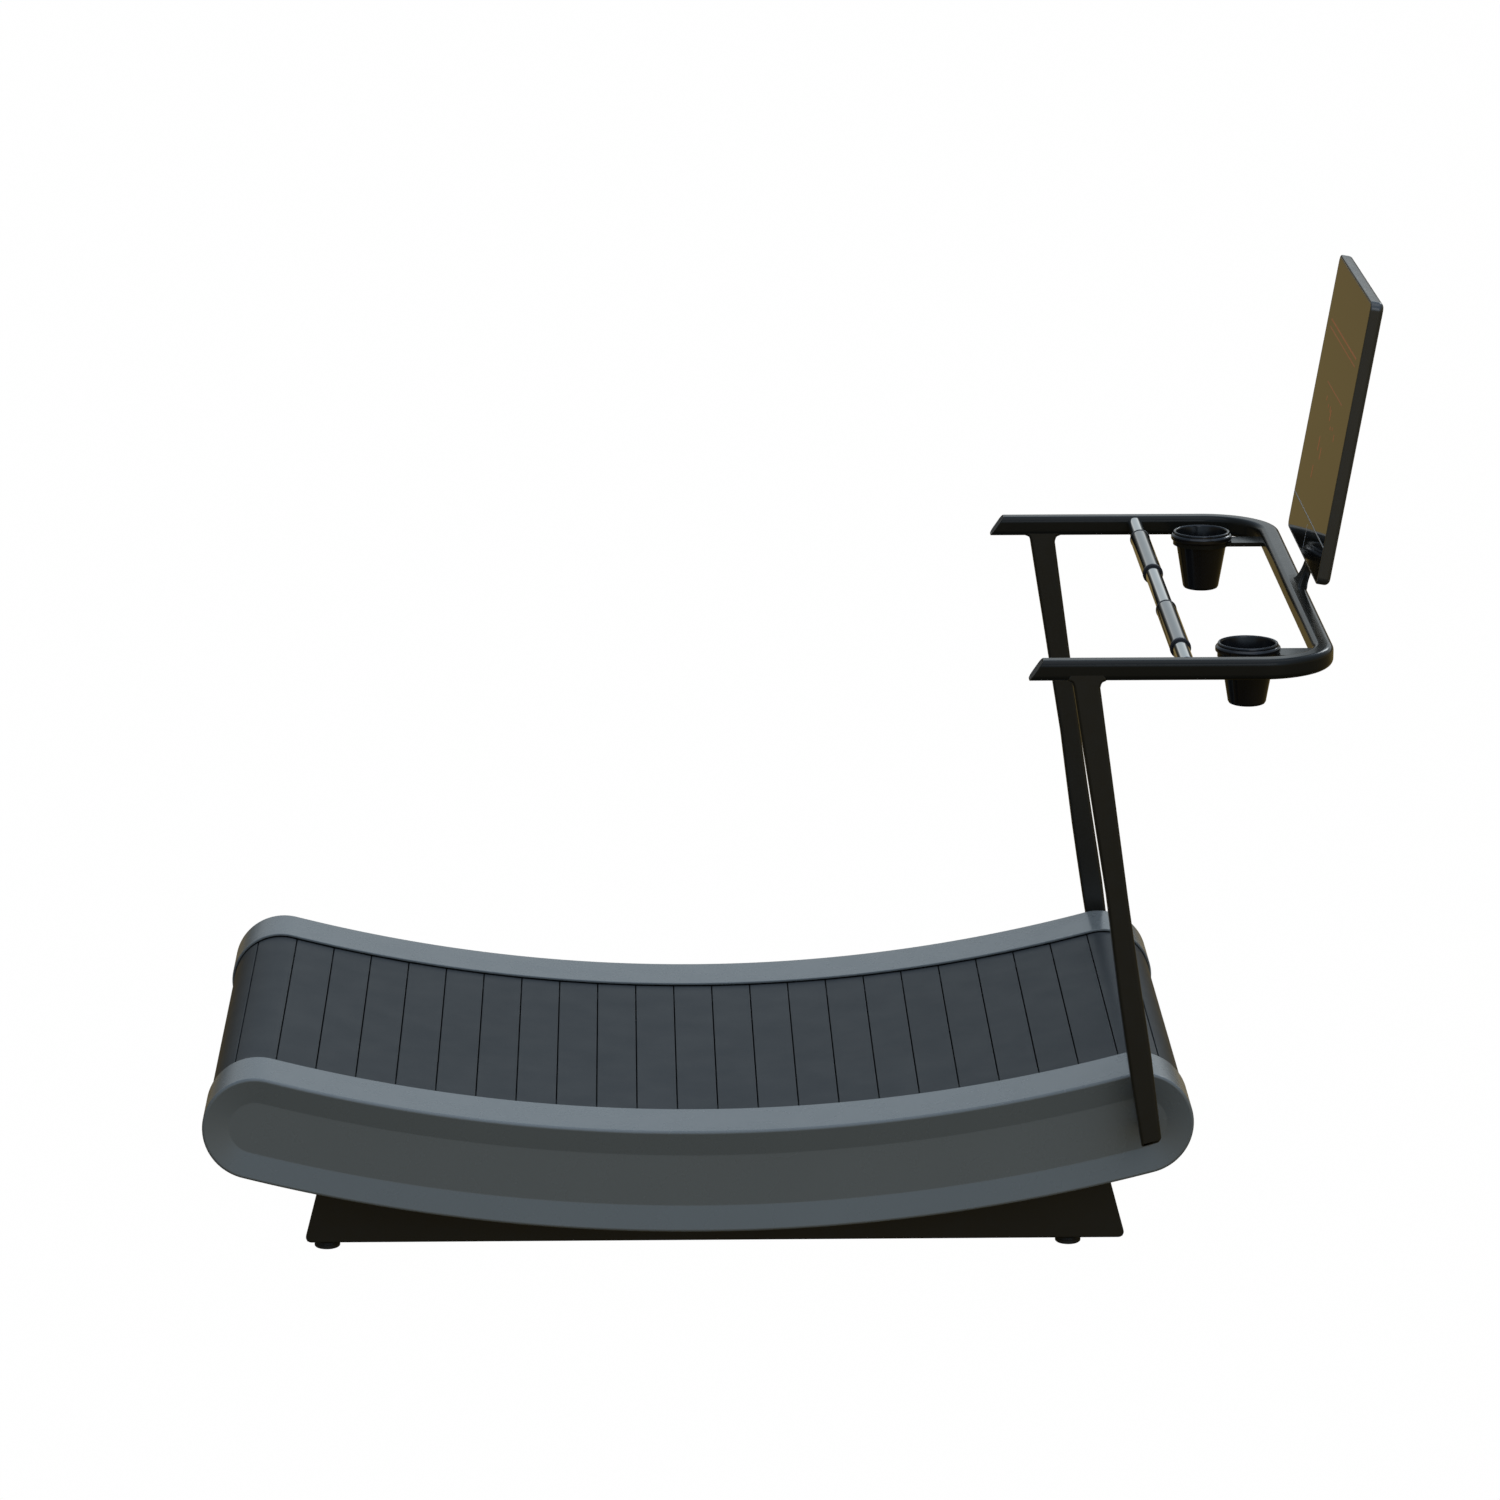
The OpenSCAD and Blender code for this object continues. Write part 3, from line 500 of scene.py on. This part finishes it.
# ------------------------------------------------------------------ handrail
def rail():
    bm = bmesh.new()
    sec = rounded(RAIL_W, RAIL_H, 10.0, 8)
    tip = lambda h: 519.7 + 22.5 * h / RAIL_H
    R0 = RAIL_OUT - RAIL_R
    rings = []

    def arm(side, d, off):
        s = inset(sec, d) if d else sec
        return [P(tip(p[1]) + off, side * (RAIL_OUT - p[0]), RAIL_Z + p[1]) for p in s]

    def corner(side, f):
        c = (RAIL_X - RAIL_R, side * R0)
        return [P(c[0] + (RAIL_R - p[0]) * math.sin(f), c[1] + side * (RAIL_R - p[0]) * math.cos(f), RAIL_Z + p[1]) for p in sec]

    ends = [(3.0, 13.0), (3.0, 0.7), (2.5, 0.15), (1.3, 0.0), (0.6, 0.2), (0.15, 0.65), (0, 1.4)]
    rings += [arm(-1, d, o) for d, o in ends]
    for x in (560, 640, 720, 800):
        rings.append([P(x, -(RAIL_OUT - p[0]), RAIL_Z + p[1]) for p in sec])
    rings += [corner(-1, math.pi / 2 * k / 28) for k in range(29)]
    for y in (-300, -150, 0, 150, 300):
        rings.append([P(RAIL_X - p[0], y, RAIL_Z + p[1]) for p in sec])
    rings += [corner(1, math.pi / 2 * k / 28) for k in range(28, -1, -1)]
    for x in (800, 720, 640, 560):
        rings.append([P(x, RAIL_OUT - p[0], RAIL_Z + p[1]) for p in sec])
    rings += [arm(1, d, o) for d, o in reversed(ends)]
    loft(bm, rings)
    return piece("handrail_tube", bm, RAIL, "root", "handrail", sharp=50)


rail()

# ------------------------------------------------------------------ crossbar, grips and their end rings
along_y = lambda a, b, h: P(BAR_X + a, h, BAR_Z + b)
bm = bmesh.new()
lathe(bm, [(11.5, -505.9), (13.1, -505.9), (13.5, -505.4), (13.5, -300), (13.5, 0), (13.5, 300), (13.5, 505.4), (13.1, 505.9), (11.5, 505.9)], along_y, 72)
piece("crossbar_tube", bm, CHROME, "root", "crossbar")
for side, nm in ((-1, "right"), (1, "left")):
    bm = bmesh.new()
    prof = [(13.56, side * 134.1), (15.6, side * 134.1), (16.4, side * 135.2), (16.5, side * 136.5)]
    prof += [(16.5, side * y) for y in (150, 200, 263, 326, 376)]
    prof += [(16.5, side * 389.5), (16.4, side * 390.8), (15.6, side * 391.9), (13.56, side * 391.9)]
    lathe(bm, prof, along_y, 80)
    piece("pulse_grip_" + nm, bm, GRIP, "root", "grip_" + nm)
bm = bmesh.new()
for side in (-1, 1):
    for y in (128, 392):
        prof = round_line([(13.6, y + 0.05), (17.1, y + 0.05), (17.1, y + 5.95), (13.6, y + 5.95)], [0.3, 1.5, 1.5, 0.3], 4, True)
        lathe(bm, [(p[0], side * p[1]) for p in prof], along_y, 80)
piece("grip_end_collars", bm, RING, "root", "grip_end_rings")

# ------------------------------------------------------------------ cups
def cup(side, nm):
    bm = bmesh.new()
    c = 52.0
    pts = [(0, 0.9), (21.5, 0.9), (23.0, 0), (26.2, 0), (28.6, 1.0), (30.5, 4.2), (43.2, 79.4), (43.4, 84), (c - 2.4, 84), (c, 86.4), (c, 92.4), (c - 1.7, 94.4), (c - 3.6, 95.4), (c - 3.6, 97.6), (c - 4.4, 99.4), (c - 6.2, 100), (c - 8.0, 99.2), (c - 8.8, 97.4), (40.6, 83), (28.0, 7.0), (24.5, 3.6), (0, 3.2)]
    rad = [0, 0.8, 0.8, 1, 2, 2.5, 2, 0.8, 1.4, 2.2, 2.2, 1.0, 0.8, 1.0, 1, 1.5, 1.5, 1.4, 6, 4, 3, 0]
    prof = round_line(pts, rad, 4)

    def flute(r, h, t):
        if r < 29 or r > 43.6 or h < 5 or h > 82:
            return 0
        k = min(1, (h - 5) / 8, (82 - h) / 8)
        return -0.45 * k * (0.5 + 0.5 * math.cos(20 * t)) ** 3

    lathe(bm, [(p[0], p[1]) for p in prof], lambda a, b, h: P(CUP_X + a, side * CUP_Y + b, CUP_Z - 100 + h), 160, flute)
    return piece("drink_cup_" + nm, bm, CUPM, "cup_" + nm, "cup_" + nm, sharp=60)


cup(-1, "right")
cup(1, "left")

# ------------------------------------------------------------------ screen neck
def neck():
    bm = bmesh.new()
    rear = [(990.6, 1020), (992.8, 1024), (995.2, 1028), (996.9, 1031), (998.6, 1034), (1000.9, 1038.5), (1003.2, 1043), (1005.4, 1048), (1007.6, 1053), (1010.9, 1062), (1013.2, 1075), (1015.5, 1088), (1017.4, 1099)]
    front = [(1009.6, 1020), (1010.4, 1024), (1011.2, 1028), (1012.4, 1031), (1013.6, 1034), (1015.4, 1038.5), (1017.3, 1043), (1018.9, 1048), (1020.4, 1053), (1022.4, 1062), (1024.7, 1075), (1026.9, 1088), (1028.7, 1099)]
    rings = []
    for (xr, z), (xf, _) in zip(rear, front):
        k = min(24.0, max(0.0, 1052 - z))
        hw = min(38.0, 42 - math.sqrt(max(0, 24.0**2 - k * k)))
        rings.append([P(p[0], p[1], z) for p in rounded(xf - xr, 2 * hw, 4.2, 6, xr, -hw)])
    loft(bm, rings)
    kx = SCR_X + 30 * math.sin(TILT) + 14.5 * math.cos(TILT)
    kz = SCR_Z + 30 * math.cos(TILT) - 14.5 * math.sin(TILT)
    prof = round_line([(3.1, -18), (6.5, -18), (6.5, 18), (3.1, 18)], [0.3, 0.8, 0.8, 0.3], 3, True)
    lathe(bm, [(p[0], p[1]) for p in prof], lambda a, b, h: P(kx + a, h, kz + b), 48)
    return piece("screen_neck_column", bm, RAIL, "root", "screen_neck", sharp=55)


neck()

# ------------------------------------------------------------------ screen
def face(a, b, w):
    return on_screen(w, a, b)


def screen_shell():
    bm = bmesh.new()
    outline = rounded(448, 471, 14, 8, -224, 0)
    rings = []
    for k in range(6):
        t = math.pi / 2 * k / 5
        rings.append((8.5 * (1 - math.sin(t)), 22 - 8.5 * (1 - math.cos(t))))
    rings += [(0, 8.0)]
    for k in range(5):
        t = math.pi / 2 * k / 4
        rings.append((2.4 * (1 - math.cos(t)), 2.4 * (1 - math.sin(t))))
    rings += [(3.3, 0.0), (3.6, 0.3), (3.6, 4.2)]
    loft(bm, [[face(p[0], p[1], w) for p in inset(outline, d)] for d, w in rings])
    ob = piece("screen_housing", bm, SHELL, "screen", "screen_back_shell", sharp=50)
    cut = bmesh.new()
    slab(cut, rounded(72, 82, 5, 4, -36, -20), face, 6.0, 40.0, 0.5, 0.5, 1)
    bmesh.ops.recalc_face_normals(cut, faces=cut.faces)
    me = bpy.data.meshes.new("notch")
    cut.to_mesh(me)
    cut.free()
    tool = bpy.data.objects.new("notch", me)
    SCENE.collection.objects.link(tool)
    tool.matrix_world = Matrix.Identity(4)
    md = ob.modifiers.new("notch", "BOOLEAN")
    md.operation, md.solver, md.object = "DIFFERENCE", "EXACT", tool
    ob.modifiers.move(len(ob.modifiers) - 1, 0)
    bpy.context.view_layer.update()
    done = bpy.data.meshes.new_from_object(ob.evaluated_get(bpy.context.evaluated_depsgraph_get()))
    ob.modifiers.clear()
    ob.data = done
    for p in done.polygons:
        p.use_smooth = True
    done.set_sharp_from_angle(angle=math.radians(50))
    wn = ob.modifiers.new("weighted", "WEIGHTED_NORMAL")
    wn.keep_sharp = True
    bpy.data.objects.remove(tool)
    return ob


screen_shell()
bm = bmesh.new()
slab(bm, rounded(440, 403.5, 8, 8, -220, 63.5), face, 0.0, 3.0, 0.7, 0.3, 3)
piece("screen_front_glass", bm, GLASS, "screen", "screen_glass", sharp=50)
bm = bmesh.new()
slab(bm, rounded(440, 57.5, 8, 8, -220, 4), face, 0.0, 3.0, 0.7, 0.3, 3)
piece("screen_lower_panel", bm, BEZEL, "screen", "lower_bezel", sharp=50)
bm = bmesh.new()
slab(bm, rounded(439, 2.2, 0.6, 3, -219.5, 61.4), face, 0.02, 3.0, 0.2, 0.2, 2)
piece("screen_accent_bar", bm, ACCENT, "screen", "accent_strip", sharp=50)

# generic bars and ticks on the display, and one pale tick on the lower panel
bm = bmesh.new()
MARKS = [(-178, 366, 356, 3.2), (-178, 354, 356, 2.2), (-120, 278, 205, 2.0), (52, 252, 8, 8), (20, 246, 8, 6), (-8, 244, 8, 10), (-22, 232, 10, 18), (-48, 222, 10, 6), (-74, 226, 8, 6), (-104, 214, 8, 12), (44, 168, 10, 24), (8, 160, 9, 20), (60, 118, 9, 22)]
for y, u, w, h in MARKS:
    slab(bm, rounded(w, h, min(1.0, h / 3), 3, y, u), lambda a, b, q: on_screen(-q, a, b), -0.5, 0.06, 0.0, 0.02, 1)
piece("display_marks", bm, MARK, "screen", sharp=50, weld=False)
bm = bmesh.new()
slab(bm, rounded(3.4, 42, 1.5, 3, -1.7, 10), lambda a, b, q: on_screen(-q, a, b), -0.5, 0.06, 0.0, 0.02, 1)
piece("lower_panel_tick", bm, PALE_MARK, "screen", sharp=50, weld=False)

# ------------------------------------------------------------------ CAD nodes that keep their own shape
KEEP = {
    "base_crossmembers": BLACK, "feet_studs": STEEL, "feet_lock_nuts": STEEL,
    "side_plate_left": BLACK, "side_plate_right": BLACK, "frame_cross_tubes": BLACK, "side_plate_bolts": STEEL,
    "cover_posts": BLACK, "bearing_housings": BLACK, "front_bearings": STEEL, "rear_bearings": STEEL, "one_way_clutch": STEEL,
    "front_shaft": STEEL, "rear_shaft": STEEL, "front_pulleys": ALU, "rear_pulleys": ALU,
    "carrier_belt_left": BELT, "carrier_belt_right": BELT,
    "support_rollers_left": PLASTIC, "support_rollers_right": PLASTIC, "roller_pins_left": STEEL, "roller_pins_right": STEEL,
    "upright_mount_left": BLACK, "upright_mount_right": BLACK, "upright_bolts": STEEL,
    "handrail_end_plugs": PLASTIC, "cup_holder_left": RAIL, "cup_holder_right": RAIL,
    "hinge_bracket": STEEL, "hinge_pin": STEEL, "display_panel": PANEL, "control_board": BOARD, "battery_pack": CELL,
    "speed_sensor": PLASTIC, "sensor_magnet": ALU,
}
BEVEL = {"cup_holder_left": 1.2, "cup_holder_right": 1.2, "base_crossmembers": 1.5, "upright_mount_left": 1.5, "upright_mount_right": 1.5, "handrail_end_plugs": 0.8, "battery_pack": 1.2, "hinge_bracket": 0.8}
for n, m in KEEP.items():
    o = NODES[n]
    if not o.material_slots:
        o.data.materials.append(m)
    for s in o.material_slots:
        s.material = m
    if n not in ("carrier_belt_left", "carrier_belt_right", "front_bearings", "rear_bearings"):
        b = o.modifiers.new("edge", "BEVEL")
        b.width = BEVEL.get(n, 0.5) / 1000
        b.segments = 2
        b.limit_method = "ANGLE"
        b.angle_limit = math.radians(40)
        b.harden_normals = False
        b.use_clamp_overlap = True

# ------------------------------------------------------------------ floor, light and camera
def floor():
    bm = bmesh.new()
    n, s = 24, 60.0
    vs = [[bm.verts.new((-s + 2 * s * i / n, -s + 2 * s * j / n, -0.0005)) for j in range(n + 1)] for i in range(n + 1)]
    for i in range(n):
        for j in range(n):
            bm.faces.new((vs[i][j], vs[i + 1][j], vs[i + 1][j + 1], vs[i][j + 1]))
    me = bpy.data.meshes.new("floor")
    bm.to_mesh(me)
    bm.free()
    ob = bpy.data.objects.new("floor", me)
    SCENE.collection.objects.link(ob)
    m = bpy.data.materials.new("floor_pale")
    m.use_nodes = True
    nt = m.node_tree
    nt.nodes.clear()
    out = nt.nodes.new("ShaderNodeOutputMaterial")
    em = nt.nodes.new("ShaderNodeEmission")
    noise = nt.nodes.new("ShaderNodeTexNoise")
    noise.inputs["Scale"].default_value = 0.4
    ramp = nt.nodes.new("ShaderNodeValToRGB")
    ramp.color_ramp.elements[0].color = (0.995, 0.995, 0.995, 1)
    ramp.color_ramp.elements[1].color = (1, 1, 1, 1)
    nt.links.new(noise.outputs["Fac"], ramp.inputs["Fac"])
    nt.links.new(ramp.outputs["Color"], em.inputs["Color"])
    em.inputs["Strength"].default_value = 1.0
    nt.links.new(em.outputs[0], out.inputs[0])
    me.materials.append(m)
    ob.visible_glossy = False
    ob.visible_diffuse = False
    ob.visible_shadow = False
    ob.visible_transmission = False


floor()

world = bpy.data.worlds.new("studio")
SCENE.world = world
world.use_nodes = True
nt = world.node_tree
nt.nodes.clear()
N, L = nt.nodes.new, nt.links.new
wout, wbg = N("ShaderNodeOutputWorld"), N("ShaderNodeBackground")
L(wbg.outputs[0], wout.inputs[0])
tc, sp = N("ShaderNodeTexCoord"), N("ShaderNodeSeparateXYZ")
L(tc.outputs["Generated"], sp.inputs[0])


def ramp_of(stops, value, lo_v=-1.0, hi_v=1.0):
    mr = N("ShaderNodeMapRange")
    mr.inputs["From Min"].default_value = lo_v
    mr.inputs["From Max"].default_value = hi_v
    L(value, mr.inputs["Value"])
    r = N("ShaderNodeValToRGB")
    r.color_ramp.interpolation = "EASE"
    el = r.color_ramp.elements
    while len(el) > 1:
        el.remove(el[-1])
    for k, (p, c) in enumerate(stops):
        q = (p - lo_v) / (hi_v - lo_v)
        e = el[0] if k == 0 else el.new(q)
        e.position = q
        e.color = list(c) + [1]
    L(mr.outputs["Result"], r.inputs["Fac"])
    return r.outputs["Color"]


# colours by height in the light round the object: cool above, warm below, bluer on the near side
far_on = ramp_of([(-1, (0.030, 0.024, 0.010)), (-0.6, (0.05, 0.040, 0.016)), (-0.25, (0.20, 0.147, 0.055)), (-0.15, (0.29, 0.215, 0.088)), (-0.10, (0.27, 0.20, 0.09)), (-0.05, (0.05, 0.044, 0.028)), (0.05, (0.045, 0.044, 0.038)), (0.10, (0.22, 0.23, 0.23)), (0.15, (0.84, 0.88, 0.88)), (0.19, (0.66, 0.72, 0.75)), (0.27, (0.55, 0.62, 0.66)), (0.6, (0.38, 0.49, 0.63)), (1, (0.30, 0.40, 0.56))], sp.outputs["Z"])
near_on = ramp_of([(-1, (0.020, 0.016, 0.008)), (-0.6, (0.05, 0.040, 0.018)), (-0.25, (0.18, 0.138, 0.062)), (-0.05, (0.28, 0.235, 0.15)), (0.05, (0.40, 0.46, 0.50)), (0.25, (0.44, 0.60, 0.78)), (0.6, (0.40, 0.55, 0.76)), (1, (0.38, 0.50, 0.70))], sp.outputs["Z"])
near_w = ramp_of([(-1, (1, 1, 1)), (-0.6, (1, 1, 1)), (0.2, (0, 0, 0)), (1, (0, 0, 0))], sp.outputs["Y"])
mixw = N("ShaderNodeMix")
mixw.data_type = "RGBA"
L(near_w, mixw.inputs["Factor"])
L(far_on, mixw.inputs["A"])
L(near_on, mixw.inputs["B"])
L(mixw.outputs["Result"], wbg.inputs["Color"])
gain = N("ShaderNodeMapRange")
for key, val in (("From Min", -0.35), ("From Max", 0.35), ("To Min", 0.76), ("To Max", 1.20)):
    gain.inputs[key].default_value = val
L(sp.outputs["X"], gain.inputs["Value"])
L(gain.outputs["Result"], wbg.inputs["Strength"])
# both ends of the object look into a darker, warmer room
wide = N("ShaderNodeMath")
wide.operation = "ABSOLUTE"
L(sp.outputs["X"], wide.inputs[0])
side_on = ramp_of([(-1, (0.020, 0.016, 0.008)), (-0.25, (0.11, 0.083, 0.032)), (0.0, (0.26, 0.20, 0.090)), (0.15, (0.20, 0.18, 0.12)), (0.4, (0.20, 0.235, 0.27)), (1, (0.30, 0.40, 0.56))], sp.outputs["Z"])
side_w = ramp_of([(-1, (0, 0, 0)), (0.45, (0, 0, 0)), (0.85, (0.9, 0.9, 0.9)), (1, (1, 1, 1))], wide.outputs[0])
mixs = N("ShaderNodeMix")
mixs.data_type = "RGBA"
L(side_w, mixs.inputs["Factor"])
L(mixw.outputs["Result"], mixs.inputs["A"])
L(side_on, mixs.inputs["B"])
L(mixs.outputs["Result"], wbg.inputs["Color"])


def area(name, loc, target, size, energy, color):
    d = bpy.data.lights.new(name, "AREA")
    d.shape, d.size, d.size_y = "RECTANGLE", size[0], size[1]
    d.energy, d.color = energy, color
    o = bpy.data.objects.new(name, d)
    SCENE.collection.objects.link(o)
    o.location = loc
    o.rotation_mode = "QUATERNION"
    o.rotation_quaternion = (Vector(target) - Vector(loc)).to_track_quat("-Z", "Y")


area("softbox_top", (0.6, -0.6, 5.5), (0, 0, 0.4), (5, 4), 40, (0.95, 0.98, 1.0))
area("softbox_rim", (3.2, 4.6, 3.6), (0.4, 0, 0.8), (1.1, 1.1), 26, (0.92, 0.97, 1.0))
area("softbox_front", (2.2, -6.0, 4.2), (0, 0, 0.5), (3, 3), 25, (1.0, 0.98, 0.95))

cam = bpy.data.cameras.new("camera")
cam.sensor_width, cam.lens = 36.0, 149.84
cam.clip_start, cam.clip_end = 0.1, 400
camera = bpy.data.objects.new("camera", cam)
SCENE.collection.objects.link(camera)
SCENE.camera = camera
yaw, pitch = math.radians(1.207), math.radians(14.594)
f = Vector((math.sin(yaw) * math.cos(pitch), math.cos(yaw) * math.cos(pitch), -math.sin(pitch)))
r = Vector((math.cos(yaw), -math.sin(yaw), 0))
u = r.cross(f)
camera.matrix_world = Matrix(((r.x, u.x, -f.x, OX - 0.119165), (r.y, u.y, -f.y, -10.0445), (r.z, u.z, -f.z, 3.3625), (0, 0, 0, 1)))
